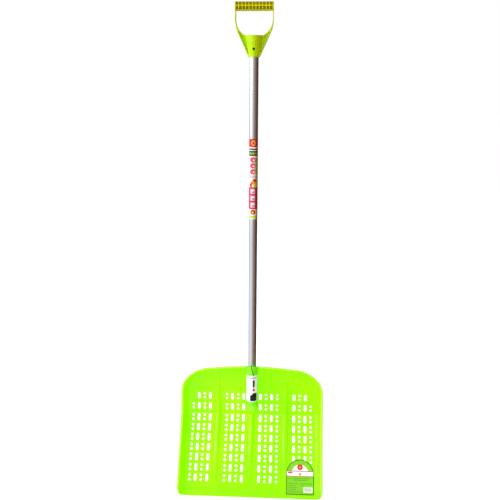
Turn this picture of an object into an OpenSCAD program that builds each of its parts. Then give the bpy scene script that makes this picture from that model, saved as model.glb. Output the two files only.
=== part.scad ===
// Grain scoop shovel: a perforated scoop blade on a straight tube with a D-shaped grip.
// The origin is the middle of the underside of the grip's bar, where a peg carries the shovel.
// The tube runs down along Z, the scoop opens towards -Y, and the lip is at the bottom.

/* [Tube] */
// Outside diameter of the tube
tube_d = 25; // [20:0.5:30]
// Wall of the tube
tube_wall = 1.2; // [1:0.1:2]
// Length of tube that shows between the grip and the blade
tube_shown = 923; // [500:1:1150]

/* [Grip] */
// Width of the grip
grip_w = 106; // [95:1:128]
// Height of the bar
bar_h = 24; // [22:1:32]
// Depth of the bar, front to back
bar_depth = 24; // [22:1:34]
// Height of the hand opening
hand_h = 63.5; // [55:0.5:80]
// Thickness of the legs beside the hand opening
leg_t = 3; // [2.5:0.5:7]
// Depth of the legs and of the web below the opening
leg_depth = 17; // [12:1:22]
// Height of the neck, from the hand opening to the end of the collar
neck_h = 57; // [50:1:70]
// Wall of the collar round the tube
collar_wall = 2.9; // [2.5:0.1:5]
// Height left solid between the tube's end and the hand opening
web_h = 9.5; // [6:0.5:14]

/* [Blade] */
// Width over the rolled rim
blade_w = 450; // [370:1:540]
// Length of the ramp, from the crease to the rim
ramp_len = 167; // [139:1:220]
// Length of the floor, from the crease to the lip
floor_len = 253; // [210:1:320]
// Angle between the tube and the ramp
ramp_tilt = 3; // [0:0.5:5]
// Angle between the tube and the floor
floor_angle = 38; // [25:1:45]
// Thickness of the sheet
sheet_t = 3; // [2:0.1:4]
// Height of the walls in front of the sheet
wall_h = 24; // [18:1:40]
// Angle of the walls, measured from the sheet
wall_angle = 62; // [50:1:80]
// Width of the rolled rim
rim_w = 6; // [4:0.5:9]
// Radius of the fold between sheet and wall
fold_r = 10; // [5:1:14]
// Radius of the two upper corners, over the rim
corner_r = 95; // [70:1:120]

/* [Ribs] */
// Radius of a rib's round back on the floor
rib_r = 9; // [6:0.5:9]
// Radius of a rib's round back on the ramp
ramp_rib_r = 8; // [5:0.5:8]
// Distance from the lower end of the ribs to the lip
rib_end_gap = 49; // [30:1:90]
// Distance from the upper end of the outer ribs to the rim
ramp_rib_gap = 52; // [45:1:80]
// Number of short stiffening flutes on each side of the socket
flute_count = 7; // [0:1:7]

/* [Perforations] */
// Width of a slot and diameter of a round hole
hole_w = 8; // [5:0.5:10]
// Length of a slot
slot_len = 21.5; // [16:0.5:24]
// Distance from the socket to the nearest holes
socket_gap = 3.65; // [2:0.05:6]
// Distance from the outermost holes to the fold of the wall
hole_margin = 8.88; // [3:0.01:14]
// Distance between rows on the floor
row_pitch = 30.4; // [26:0.1:31]
// Distance from the crease to the first row on the floor
first_row = 17.5; // [15:0.5:22]
// Distance from the crease to the lower row on the ramp
ramp_row = 19; // [15:0.5:22]
// Distance between the two rows on the ramp
ramp_row_pitch = 35; // [30:0.5:38]
// Least width of the plain band between the last row and the lip
lip_band = 40; // [25:1:80]

/* [Socket] */
// Wall of the socket round the tube
socket_wall = 6.4; // [5:0.1:8]
// Length of the taper that ends the socket
socket_taper = 22; // [15:1:30]
// Distance from the tube's end down to the taper
socket_floor = 12; // [8:1:30]
// Height of the socket's front edge above the rim
socket_lip = 4; // [0:0.5:8]
// Distance from the tube's axis back to the sheet at the crease
axis_offset = 6; // [4:0.5:9]

/* [Fasteners and plugs] */
// Diameter of the screw shanks
screw_d = 4; // [3:0.5:5]
// Diameter of the screw heads
screw_head_d = 6.5; // [6:0.5:8]
// Height of the screw heads
screw_head_h = 2; // [1.6:0.1:2.4]
// Reach of a screw from under its head
screw_reach = 18; // [12:1:22]
// Length of each plug inside the tube
plug_len = 60; // [45:1:90]
// Distance from each end of the lower plug to the nearest screw
plug_screw_gap = 12; // [8:1:20]
// Thickness of a plug's flange
plug_flange = 2; // [1:0.5:3]

/* [Labels] */
// Length of the label round the tube
tube_label_len = 232; // [100:1:260]
// Distance from the collar to the label round the tube
tube_label_gap = 222; // [50:1:230]
// Distance from the rim to the label on the socket
socket_label_gap = 27; // [10:1:30]
// Distance from the socket's label down to the taper
socket_label_rest = 29; // [10:1:50]
// Half the angle that the socket's label goes round
socket_label_turn = 62; // [30:1:80]
// Distance from the middle of the outer rib to the arched label
blade_label_rib_gap = 4.73; // [4.7:0.01:20]
// Height of the arched label on the blade
blade_label_h = 102; // [70:1:110]
// Distance from the lip to the arched label
blade_label_gap = 12; // [8:1:40]
// Thickness of every label
label_t = 0.2; // [0.1:0.1:0.5]

/* [Hidden] */
$fn = 64;

// Named clearances of the fitted pieces
tube_clear = 0.1;
plug_clear = 0.1;
screw_clear = 0.1;
seat_clear = 0.5;
head_clear = 0.4;
head_sink = 1.9;

// Overrun of a cutting shape past the face that it cuts, and overlap of joined shapes
cut = 1;
lap = 0.5;
far = 1000;

// The tube's radii, how far it is held at each end, and the levels down the handle
tube_r = tube_d / 2;
tube_bore_r = tube_r - tube_wall;
bore_r = tube_r + tube_clear;
socket_r = bore_r + socket_wall;
socket_len = ramp_len - socket_taper;
socket_grasp = socket_len - socket_floor;
grip_grasp = neck_h - web_h - plug_flange - seat_clear;
collar_z = -hand_h - neck_h;
rim_z = collar_z - tube_shown;
crease_z = rim_z - ramp_len * cos(ramp_tilt);
tube_top_z = collar_z + grip_grasp;
tube_end_z = rim_z - socket_grasp;

// The wall's section: how far its straight part runs and reaches
wall_rise = wall_h - fold_r * (1 - cos(wall_angle));
wall_run = fold_r * sin(wall_angle) + wall_rise / tan(wall_angle);
section_w = wall_run + rim_w;

// The blade's plan: the flat half width and the corner centres
flat_half_w = blade_w / 2 - section_w;
corner_x = blade_w / 2 - corner_r;
corner_y = ramp_len - corner_r;
flat_corner_r = corner_r - section_w;

// Two equal panels of holes on each side of the socket, four columns each,
// with the outer rib half way between them
columns = 4;
panel_half_w = (flat_half_w - hole_margin - 3 * (socket_r + socket_gap)) / 4;
column_pitch = (panel_half_w - hole_w / 2) / (columns - 1) * 2;
rib_offset = 2 * (socket_r + socket_gap + panel_half_w);
panel_x = [rib_offset / 2, rib_offset * 3 / 2];
dot_pitch = slot_len - hole_w;
floor_rows = 1 + floor((floor_len - first_row - slot_len / 2 - lip_band) / row_pitch);

// The three ribs on the floor; only the outer two go on up the ramp
rib_x = [-rib_offset, 0, rib_offset];
rib_len = floor_len - rib_end_gap;
ramp_rib_len = ramp_len - ramp_rib_gap;

// Shapes on the ramp and on the floor run this far past the crease, where they are mitred
miter = 30;

// A rib's axis lies this far behind the sheet's front face at the crease
rib_sink = 2;

// The flutes run down from the top wall, spread from the socket to the side wall
flute_r = 2;
flute_len = 30;
flute_start = socket_r + 18;
flute_end_gap = 31.23;
flute_end = flat_half_w - flute_end_gap;
flute_pitch = (flute_end - flute_start) / max(1, flute_count - 1);
flute_top = ramp_len - section_w - 2;

// Height above the crease at which the socket's taper ends
socket_foot = 3;

// The socket's top slopes down towards the back at this angle
socket_slope = 35;

// The hand opening: round lower corners, cut straight by the web
hand_half_w = grip_w / 2 - leg_t;
hand_r = 45;
hand_side_h = 22;
// The legs leave the vertical at this level and curve in towards the collar
leg_r = 90;
leg_bend_z = -20;
leg_turn = 25.5;
bar_edge_r = 9;

// The neck is a cone that widens from the collar up to the web
neck_flare = 8.5;
collar_r = bore_r + collar_wall;
neck_top_r = collar_r + neck_flare;

// The waffle of pockets moulded into both faces of the bar
pocket_columns = 11;
pocket_rows = 2;
pocket_pitch = 9.3;
pocket_row_pitch = 11.5;
pocket_w = 7;
pocket_h = 8.4;
pocket_depth = 7;
pocket_lift = 1;

// Levels of the screws and the planes that their heads bear on
grip_screw_rise = 21;
grip_screw_z = collar_z + grip_screw_rise;
socket_screw_z = [tube_end_z + plug_screw_gap, tube_end_z + plug_len - plug_screw_gap];
neck_r_at_screw = collar_r + neck_flare * grip_screw_rise / neck_h;
grip_seat_y = screw_head_h + head_sink - neck_r_at_screw;
socket_seat_y = socket_r - screw_head_h - head_sink;
head_recess_r = screw_head_d / 2 + head_clear;

// A screw head's chamfer and the slots of its cross recess
head_chamfer = 1;
cross_len = 4;
cross_w = 1;

// Gap between the arched label and the fold, and the size of its round top
blade_label_gap_x = 4;
blade_label_w = flat_half_w - blade_label_gap_x - rib_offset - blade_label_rib_gap;
socket_label_len = socket_len - socket_label_gap - socket_label_rest;

// Colours
lime = [0.55, 0.95, 0.05, 0.85];
grip_yellow = [0.80, 0.86, 0.05];
film_white = [0.95, 0.95, 0.95];
film_green = [0.55, 0.80, 0.25];

// Points of an arc, from one angle to another
function arc(centre, r, from, to, steps = 12) =
    [for (i = [0 : steps])
        let (a = from + (to - from) * i / steps)
        centre + r * [cos(a), sin(a)]];

// Mirrored copies on the left and the right
module both_sides() {
    children();
    mirror([1, 0, 0]) children();
}

// A frame on the sheet's front face: X across, Y up the sheet, Z out of the face
module on_sheet(angle) {
    translate([0, axis_offset, crease_z]) rotate([90 - angle, 0, 0]) children();
}

// What lies above the crease (side 1) or below it (side -1)
module beyond_crease(side) {
    intersection() {
        children();
        on_sheet((ramp_tilt + floor_angle) / 2)
            translate([-far, side > 0 ? -lap : lap - 2 * far, -far]) cube(2 * far);
    }
}

// ---- Blade ----

// Section of fold, wall and rolled rim: X outwards, Y in front of the sheet
module wall_section() {
    edge_r = sheet_t / 2;
    under_rim_x = wall_run - sheet_t / tan(wall_angle) + sheet_t / sin(wall_angle);
    polygon(concat(
        [[-lap, 0]],
        arc([0, fold_r], fold_r, -90, wall_angle - 90),
        [[wall_run, wall_h]],
        arc([section_w - edge_r, wall_h - edge_r], edge_r, 90, -90),
        [[under_rim_x, wall_h - sheet_t]],
        arc([0, fold_r], fold_r + sheet_t, wall_angle - 90, -90),
        [[-lap, -sheet_t]]
    ));
}

// A straight wall along the right edge, over a length down from the corner's level
module side_wall(length) {
    translate([corner_x, corner_y, 0]) rotate([90, 0, 0])
        linear_extrude(length) translate([flat_corner_r, 0]) wall_section();
}

// The right half of the wall along the top, as far as the corner
module top_wall() {
    translate([corner_x, corner_y, 0]) rotate([90, 0, -90])
        linear_extrude(corner_x + lap) mirror([1, 0, 0]) translate([flat_corner_r, 0]) wall_section();
}

// One column's hole at the origin: a slot, or two round holes one above the other
module hole(is_slot) {
    for (end = [-1, 1]) translate([0, end * dot_pitch / 2]) circle(d = hole_w);
    if (is_slot) square([hole_w, dot_pitch], center = true);
}

// A row of holes over the right half; slots and dots alternate, starting with a slot
module hole_row(y, outermost = true) {
    for (panel = [0, 1]) for (i = [0 : columns - 1])
        if (outermost || panel == 0 || i < columns - 1)
            translate([panel_x[panel] + (i - (columns - 1) / 2) * column_pitch, y])
                hole(i % 2 == 0);
}

// Flat part of the ramp, with straight sides and round corners
module ramp_plan() {
    both_sides() {
        square([flat_half_w, corner_y]);
        square([corner_x, corner_y + flat_corner_r]);
        translate([corner_x, corner_y]) circle(flat_corner_r);
    }
}

module ramp() {
    translate([0, 0, -sheet_t]) linear_extrude(sheet_t) difference() {
        union() {
            ramp_plan();
            translate([-flat_half_w, -miter]) square([2 * flat_half_w, 2 * miter]);
        }
        both_sides() {
            hole_row(ramp_row);
            hole_row(ramp_row + ramp_row_pitch, outermost = false);
        }
    }
    both_sides() {
        side_wall(corner_y + miter);
        top_wall();
        translate([corner_x, corner_y, 0])
            rotate_extrude(angle = 90) translate([flat_corner_r, 0]) wall_section();
    }
}

// The floor's walls come down to the lip in a quarter round
module floor_walls() {
    difference() {
        translate([0, miter - corner_y, 0]) both_sides() side_wall(floor_len + miter);
        translate([-far, -floor_len, wall_h]) rotate([0, 90, 0]) difference() {
            translate([-cut, -cut, 0]) cube([wall_h + cut, wall_h + cut, 2 * far]);
            translate([wall_h, wall_h, -cut]) cylinder(r = wall_h, h = 2 * far + 2 * cut, $fn = 96);
        }
    }
}

module floor_sheet() {
    translate([0, 0, -sheet_t]) linear_extrude(sheet_t) difference() {
        translate([-flat_half_w, -floor_len]) square([2 * flat_half_w, floor_len + miter]);
        both_sides() for (i = [0 : floor_rows - 1]) hole_row(-first_row - i * row_pitch);
    }
    floor_walls();
}

// A round rib from the crease, whose axis dips until its back fades into the sheet's front face.
// The same rib with the radius less the sheet's thickness is its hollow.
module floor_rib(x, r, dip_r = rib_r) {
    translate([x, 0, -rib_sink]) rotate([90 + atan((dip_r - rib_sink) / rib_len), 0, 0])
        translate([0, 0, -miter]) cylinder(h = rib_len + 2 * miter, r = r);
}

module ramp_rib(x, r, dip_r = ramp_rib_r) {
    translate([x, 0, -rib_sink]) rotate([-90 - atan((dip_r - rib_sink) / ramp_rib_len), 0, 0])
        translate([0, 0, -miter]) cylinder(h = ramp_rib_len + 2 * miter, r = r);
}

// How far the round corner brings a flute down at a distance from the middle
function flute_drop(x) = x < corner_x ? 0 : corner_r - sqrt(pow(corner_r, 2) - pow(x - corner_x, 2));

// Short flutes below the top wall
module flutes() {
    if (flute_count > 0) both_sides() for (i = [0 : flute_count - 1]) {
        x = flute_start + i * flute_pitch;
        translate([x, flute_top - flute_drop(x), -flute_r / 2])
            rotate([90, 0, 0]) cylinder(h = flute_len, r = flute_r, $fn = 24);
    }
}

// Round socket for the tube, its top sloping down behind, closed by a taper that stops short of the crease
module socket() {
    foot_z = crease_z + socket_foot;
    difference() {
        translate([0, 0, rim_z - socket_len]) cylinder(h = socket_len + socket_lip + cut, r = socket_r);
        translate([-far, -socket_r, rim_z + socket_lip]) rotate([-socket_slope, 0, 0])
            translate([0, -far, 0]) cube([2 * far, 2 * far, far]);
    }
    translate([0, 0, foot_z]) cylinder(h = rim_z - socket_len - foot_z, r1 = rib_r, r2 = socket_r);
}

// A screw's way along +Z: the shank's hole from past the tip, and the head's recess from the seat at the origin
module screw_way() {
    translate([0, 0, -screw_reach - seat_clear])
        cylinder(h = screw_reach + seat_clear + socket_r, r = screw_d / 2 + screw_clear);
    cylinder(h = socket_r, r = head_recess_r);
}

module socket_screw_ways() {
    for (z = socket_screw_z) translate([0, socket_seat_y, z]) rotate([-90, 0, 0]) screw_way();
}

module grip_screw_way() {
    translate([0, grip_seat_y, grip_screw_z]) rotate([90, 0, 0]) screw_way();
}

module blade() {
    color(lime) difference() {
        union() {
            beyond_crease(1) on_sheet(ramp_tilt) {
                ramp();
                flutes();
                intersection() {
                    both_sides() ramp_rib(rib_offset, ramp_rib_r);
                    translate([-far, -far, -sheet_t]) cube(2 * far);
                }
            }
            beyond_crease(-1) on_sheet(floor_angle) {
                floor_sheet();
                intersection() {
                    for (x = rib_x) floor_rib(x, rib_r);
                    translate([-far, -far, -sheet_t]) cube(2 * far);
                }
            }
            socket();
        }
        beyond_crease(1) on_sheet(ramp_tilt)
            both_sides() ramp_rib(rib_offset, ramp_rib_r - sheet_t);
        beyond_crease(-1) on_sheet(floor_angle) for (x = rib_x) floor_rib(x, rib_r - sheet_t);
        translate([0, 0, tube_end_z - plug_flange - seat_clear])
            cylinder(h = socket_grasp + plug_flange + seat_clear + wall_h, r = bore_r);
        socket_screw_ways();
    }
}

// ---- Tube and plugs ----

module pipe() {
    length = tube_top_z - tube_end_z;
    color("silver") difference() {
        translate([0, 0, tube_end_z]) cylinder(h = length, r = tube_r);
        translate([0, 0, tube_end_z - cut]) cylinder(h = length + 2 * cut, r = tube_bore_r);
        grip_screw_way();
        socket_screw_ways();
    }
}

// A plug with its flange at the origin and its body running up (side 1) or down (side -1)
module plug(side) {
    body_r = tube_bore_r - plug_clear;
    translate([0, 0, side > 0 ? -plug_flange : 0]) cylinder(h = plug_flange, r = tube_r - plug_clear);
    translate([0, 0, side > 0 ? 0 : -plug_len]) cylinder(h = plug_len, r = body_r);
}

module upper_plug() {
    color("dimgray") difference() {
        translate([0, 0, tube_top_z]) plug(-1);
        grip_screw_way();
    }
}

module lower_plug() {
    color("dimgray") difference() {
        translate([0, 0, tube_end_z]) plug(1);
        socket_screw_ways();
    }
}

// ---- Fasteners ----

// A domed screw along +Z with its head's bearing face at the origin
module screw() {
    translate([0, 0, -screw_reach]) cylinder(h = screw_reach, r = screw_d / 2);
    difference() {
        cylinder(h = screw_head_h, r1 = screw_head_d / 2, r2 = screw_head_d / 2 - head_chamfer);
        for (turn = [0, 90]) rotate([0, 0, turn])
            translate([-cross_len / 2, -cross_w / 2, screw_head_h / 2])
                cube([cross_len, cross_w, screw_head_h]);
    }
}

module grip_screw() {
    color("gray") translate([0, grip_seat_y, grip_screw_z]) rotate([90, 0, 0]) screw();
}

module socket_screws() {
    color("gray") for (z = socket_screw_z)
        translate([0, socket_seat_y, z]) rotate([-90, 0, 0]) screw();
}

// ---- Grip ----

// Outline of the right half in front view: X across, Y up
module grip_outline() {
    half_w = grip_w / 2;
    leg = arc([half_w - leg_r, leg_bend_z], leg_r, 0, -leg_turn);
    polygon(concat([[0, 0], [half_w, 0]], leg, [[collar_r, collar_z], [0, collar_z]]));
}

module hand_opening() {
    centre_x = hand_half_w - hand_r;
    intersection() {
        union() {
            for (side = [-1, 1]) translate([side * centre_x, -hand_side_h]) circle(hand_r);
            translate([-centre_x, -hand_side_h - hand_r]) square([2 * centre_x, hand_r]);
            translate([-hand_half_w, -hand_side_h]) square([2 * hand_half_w, hand_side_h]);
        }
        translate([-hand_half_w, -hand_h]) square([2 * hand_half_w, hand_h]);
    }
}

// Section of the bar, with rounded edges
module bar_section() {
    inner_h = bar_h - 2 * bar_edge_r;
    inner_d = bar_depth - 2 * bar_edge_r;
    translate([-bar_h, -inner_d / 2]) square([bar_h, inner_d]);
    translate([-bar_edge_r - inner_h, -bar_depth / 2]) square([inner_h, bar_depth]);
    for (x = [-bar_edge_r, bar_edge_r - bar_h]) for (side = [-1, 1])
        translate([x, side * inner_d / 2]) circle(bar_edge_r);
}

module bar_pockets() {
    for (face = [-1, 1]) for (row = [0 : pocket_rows - 1]) for (i = [0 : pocket_columns - 1])
        translate([
            (i - (pocket_columns - 1) / 2) * pocket_pitch - pocket_w / 2,
            face * (bar_depth / 2 - pocket_depth / 2 + cut / 2) - (pocket_depth + cut) / 2,
            bar_h / 2 + pocket_lift + (row - (pocket_rows - 1) / 2) * pocket_row_pitch - pocket_h / 2
        ]) cube([pocket_w, pocket_depth + cut, pocket_h]);
}

module d_grip() {
    color(grip_yellow) difference() {
        union() {
            translate([0, leg_depth / 2, 0]) rotate([90, 0, 0]) linear_extrude(leg_depth)
                difference() {
                    both_sides() grip_outline();
                    hand_opening();
                }
            translate([-grip_w / 2, 0, 0]) rotate([0, 90, 0]) linear_extrude(grip_w) bar_section();
            translate([0, 0, collar_z]) cylinder(h = neck_h, r1 = collar_r, r2 = neck_top_r);
        }
        bar_pockets();
        translate([0, 0, collar_z - cut])
            cylinder(h = grip_grasp + plug_flange + seat_clear + cut, r = bore_r);
        grip_screw_way();
    }
}

// ---- Labels ----

module pipe_label() {
    color(film_white) translate([0, 0, collar_z - tube_label_gap - tube_label_len]) difference() {
        cylinder(h = tube_label_len, r = tube_r + label_t);
        translate([0, 0, -cut]) cylinder(h = tube_label_len + 2 * cut, r = tube_r);
    }
}

module socket_label() {
    color(film_white) translate([0, 0, rim_z - socket_label_gap - socket_label_len])
        rotate([0, 0, -90 - socket_label_turn]) rotate_extrude(angle = 2 * socket_label_turn)
            translate([socket_r, 0]) square([label_t, socket_label_len]);
}

// The arched label lies over the last holes between the right rib and the wall
module blade_label() {
    arch_r = blade_label_w / 2;
    color(film_green) on_sheet(floor_angle)
        translate([flat_half_w - blade_label_gap_x - arch_r, blade_label_gap - floor_len, 0])
            linear_extrude(label_t) {
                translate([-arch_r, 0]) square([blade_label_w, blade_label_h - arch_r]);
                translate([0, blade_label_h - arch_r]) circle(arch_r);
            }
}

blade();
pipe();
d_grip();
upper_plug();
lower_plug();
grip_screw();
socket_screws();
pipe_label();
socket_label();
blade_label();
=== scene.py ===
"""Looks of the grain scoop shovel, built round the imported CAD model.

Everything is in the CAD frame: the origin is the middle of the underside of the grip's bar, the tube runs
down along Z and the scoop opens towards -Y. Lengths in the shape code are in millimetres.
"""
import math

import bmesh
import bpy
import numpy as np
from mathutils import Matrix, Vector
from mathutils.geometry import delaunay_2d_cdt


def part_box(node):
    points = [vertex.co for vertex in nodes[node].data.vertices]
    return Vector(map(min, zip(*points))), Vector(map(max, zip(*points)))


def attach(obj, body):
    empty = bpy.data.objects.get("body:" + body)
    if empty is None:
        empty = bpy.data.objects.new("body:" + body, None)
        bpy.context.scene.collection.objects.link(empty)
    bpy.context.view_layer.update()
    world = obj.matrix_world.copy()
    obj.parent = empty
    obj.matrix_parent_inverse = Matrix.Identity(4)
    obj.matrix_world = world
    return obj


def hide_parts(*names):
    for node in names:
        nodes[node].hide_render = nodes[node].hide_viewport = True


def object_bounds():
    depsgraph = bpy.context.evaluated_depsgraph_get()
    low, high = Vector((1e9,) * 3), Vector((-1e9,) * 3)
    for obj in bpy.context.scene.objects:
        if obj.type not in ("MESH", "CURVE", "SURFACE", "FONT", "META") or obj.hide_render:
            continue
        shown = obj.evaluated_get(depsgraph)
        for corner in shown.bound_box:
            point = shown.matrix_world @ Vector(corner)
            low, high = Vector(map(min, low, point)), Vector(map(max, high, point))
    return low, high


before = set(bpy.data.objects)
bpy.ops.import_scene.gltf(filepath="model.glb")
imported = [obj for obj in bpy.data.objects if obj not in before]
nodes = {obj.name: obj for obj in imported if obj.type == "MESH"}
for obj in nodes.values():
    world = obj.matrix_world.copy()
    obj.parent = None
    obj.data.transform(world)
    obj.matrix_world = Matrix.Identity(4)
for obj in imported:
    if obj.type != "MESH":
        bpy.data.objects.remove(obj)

MM = 0.001
cad_lo, cad_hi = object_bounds()

# ---- Sizes: the frame gives the places, and these give the mouldings' own shape ----

RAMP_TILT = math.radians(3)
FLOOR_ANGLE = math.radians(38)
HALF_FOLD = (FLOOR_ANGLE - RAMP_TILT) / 2
RAMP_LEN = 167.0
FLOOR_LEN = 253.0
SHEET_T = 3.0
WALL_H = 24.0
WALL_ANGLE = math.radians(62)
RIM_W = 6.0
FOLD_R = 10.0
CORNER_R = 95.0
AXIS_OFFSET = 6.0

blade_lo, blade_hi = (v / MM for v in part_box("blade"))
pipe_lo, pipe_hi = (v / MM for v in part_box("pipe"))
grip_lo, grip_hi = (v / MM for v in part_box("d_grip"))
# The moulding narrows from the crease to the lip and to the corners; the CAD's straight sides are its widest
SIDE_INSET = 1.2
HALF_W = blade_hi.x - SIDE_INSET
TUBE_R = pipe_hi.x
BORE_R = TUBE_R + 0.1
SOCKET_R = BORE_R + 6.4
CREASE_Z = blade_lo.z + FLOOR_LEN * math.cos(FLOOR_ANGLE) + SHEET_T * math.sin(FLOOR_ANGLE)
RIM_Z = CREASE_Z + RAMP_LEN * math.cos(RAMP_TILT)
COLLAR_Z = grip_lo.z

WALL_RISE = WALL_H - FOLD_R * (1 - math.cos(WALL_ANGLE))
WALL_RUN = FOLD_R * math.sin(WALL_ANGLE) + WALL_RISE / math.tan(WALL_ANGLE)
SECTION_W = WALL_RUN + RIM_W
FLAT_HALF_W = HALF_W - SECTION_W
CORNER_X = HALF_W - CORNER_R
CORNER_Y = RAMP_LEN - CORNER_R
FLAT_CORNER_R = CORNER_R - SECTION_W
FLAT_TOP = CORNER_Y + FLAT_CORNER_R

HOLE_R = 4.0
# Rings round a perforation's rounded edge: how far outside its wall, and how far below the face
HOLE_RINGS = ((0.6, 0.0), (0.28, 0.06), (0.08, 0.2), (0.0, 0.45))
DOT_R = 3.75
DOT_PITCH = 13.5
ROW_PITCH = 30.4
FLOOR_ROWS = 7
RAMP_ROWS = (19.0, 54.0)
FIRST_ROW = 17.5
COLUMNS = 4
HOLE_MARGIN = 8.88 - SIDE_INSET
SOCKET_GAP = 3.65
PANEL_HALF_W = (FLAT_HALF_W - HOLE_MARGIN - 3 * (SOCKET_R + SOCKET_GAP)) / 4
COLUMN_PITCH = (PANEL_HALF_W - HOLE_R) / (COLUMNS - 1) * 2
RIB_OFFSET = 2 * (SOCKET_R + SOCKET_GAP + PANEL_HALF_W)

RIB_R = 9.0
RAMP_RIB_R = 8.0
RIB_SINK = 2.0
# How far short of the lip and of the top rim the ribs fade out
RIB_END_GAP = 49.0
RAMP_RIB_END_GAP = 52.0
RIB_LEN = FLOOR_LEN - RIB_END_GAP
RAMP_RIB_LEN = RAMP_LEN - RAMP_RIB_END_GAP
FLUTE_R = 2.0
FLUTE_LEN = 30.0
FLUTE_COUNT = 7
FLUTE_SOCKET_GAP = 18.0
FLUTE_END_GAP = 31.23
FLUTE_START = SOCKET_R + FLUTE_SOCKET_GAP
FLUTE_PITCH = (FLAT_HALF_W - FLUTE_END_GAP + SIDE_INSET - FLUTE_START) / (FLUTE_COUNT - 1)
FLUTE_TOP = RAMP_LEN - SECTION_W - 2
# How far the top edge falls from the middle to the corners, and how the side edges bow and taper
ARCH_DROP = 8.0
SIDE_SWELL = SIDE_INSET
SIDE_TAPER = 4.4
SOCKET_LIP = 4.0
MOUTH_SLOPE = math.radians(35)
# The ways of the two screws that come in from behind, by their rise over the tube's end
SCREW_RISES = (12.0, 48.0)
SCREW_WAY_R = 2.1
HEAD_WAY_R = 3.65
HEAD_SEAT = BORE_R + 2.5

HAND_H = 63.5
HAND_R = 45.0
HAND_SIDE_H = 22.0
LEG_T = 3.0
LEG_R = 90.0
LEG_BEND_Z = -20.0
LEG_TURN = 25.5
COLLAR_R = BORE_R + 2.9
NECK_FLARE = 8.5
BAR_H = grip_hi.z
BAR_DEPTH = 24.0
# The wings' hollows leave a rim this wide and a floor this far from the middle plane
WING_RIM = 3.2
WING_FLOOR = 3.6

# The camera, as fitted to the photograph and nudged
CAMERA_PLACE = (0.0755, -1.7957, -0.2122)
CAMERA_AZIMUTH = math.radians(2.683)
CAMERA_ELEVATION = math.radians(14.305)
CAMERA_ROLL = math.radians(0.296)
CAMERA_LENS = 44.76


# ---- Small helpers ----


def smooth_step(x, low, high):
    t = np.clip((x - low) / (high - low), 0, 1)
    return t * t * (3 - 2 * t)


def soft_max(a, b, k):
    """The larger of a and b, with a fillet of width k where they cross."""
    gap = np.clip(k - np.abs(a - b), 0, None)
    return np.maximum(a, b) + gap * gap / (4 * k)


def new_object(name, points_mm, faces):
    mesh = bpy.data.meshes.new(name)
    mesh.from_pydata([tuple(p * MM) for p in np.asarray(points_mm, float)], [], faces)
    obj = bpy.data.objects.new(name, mesh)
    bpy.context.scene.collection.objects.link(obj)
    return obj


def tidy_mesh(obj, merge_mm=0.002):
    bm = bmesh.new()
    bm.from_mesh(obj.data)
    bmesh.ops.remove_doubles(bm, verts=bm.verts, dist=merge_mm * MM)
    bmesh.ops.recalc_face_normals(bm, faces=bm.faces)
    bm.to_mesh(obj.data)
    bm.free()


def apply_modifiers(obj):
    graph = bpy.context.evaluated_depsgraph_get()
    mesh = bpy.data.meshes.new_from_object(obj.evaluated_get(graph))
    obj.modifiers.clear()
    obj.data = mesh


def cut_or_join(obj, other, operation):
    """Boolean of two closed meshes; the other one is used up."""
    boolean = obj.modifiers.new("boolean", "BOOLEAN")
    boolean.operation = operation
    boolean.solver = "MANIFOLD"
    boolean.object = other
    apply_modifiers(obj)
    bpy.data.objects.remove(other)


def finish_piece(obj, material, slot, *replaced, sharp_deg=32):
    obj.data.materials.clear()
    obj.data.materials.append(material)
    obj.data.shade_smooth()
    obj.data.set_sharp_from_angle(angle=math.radians(sharp_deg))
    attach(obj, "root")
    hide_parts(*replaced)


def lathe(name, profile, steps=96, axis_point=(0, 0, 0), turn=None):
    """Closed solid of revolution about Z from (radius, height) points in mm, its ends closed on the axis."""
    points, faces = [], []
    rings = []
    for r, z in profile:
        if r < 1e-6:
            rings.append([len(points)])
            points.append((0, 0, z))
        else:
            rings.append(list(range(len(points), len(points) + steps)))
            for i in range(steps):
                a = 2 * math.pi * i / steps
                points.append((r * math.cos(a), r * math.sin(a), z))
    for low, high in zip(rings, rings[1:]):
        for i in range(steps):
            j = (i + 1) % steps
            quad = [low[i % len(low)], low[j % len(low)], high[j % len(high)], high[i % len(high)]]
            face = list(dict.fromkeys(quad))
            if len(face) > 2:
                faces.append(face)
    points = np.array(points, float)
    if turn is not None:
        points = points @ np.array(turn.to_3x3()).T
    obj = new_object(name, points + np.array(axis_point, float), faces)
    tidy_mesh(obj)
    return obj


def prism(name, outline, low, high, along="Y"):
    """Closed solid from low to high: an (x, z) outline along Y, or a (y, z) outline along X."""
    n = len(outline)
    if along == "X":
        points = [(depth, a, b) for depth in (low, high) for a, b in outline]
    else:
        points = [(a, depth, b) for depth in (low, high) for a, b in outline]
    faces = [tuple(range(n)), tuple(range(2 * n - 1, n - 1, -1))]
    faces += [(i, (i + 1) % n, (i + 1) % n + n, i + n) for i in range(n)]
    obj = new_object(name, points, faces)
    tidy_mesh(obj)
    return obj


# ---- Blade: a sheet with one front and one back height over its unfolded plan ----


def on_sheet(u, v, h):
    """Plan point (u across, v up the sheet from the crease) and height h off its front face, in the frame."""
    u, v, h = (np.asarray(x, float) for x in (u, v, h))
    # The rim is a shallow arch: its top drops away from the middle
    drop = ARCH_DROP * np.clip(np.abs(u) / CORNER_X, 0, 1) ** 2 * smooth_step(v, 88, RAMP_LEN)
    angle = np.where(v >= 0, RAMP_TILT, FLOOR_ANGLE)
    mitre = h * math.tan(HALF_FOLD) * np.clip(1 - np.abs(v) / 40, 0, 1)
    s = v - drop + np.where(v >= 0, 1, -1) * mitre
    y = AXIS_OFFSET + s * np.sin(angle) - h * np.cos(angle)
    z = CREASE_Z + s * np.cos(angle) + h * np.sin(angle)
    return np.stack([u, y, z], axis=-1)


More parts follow.
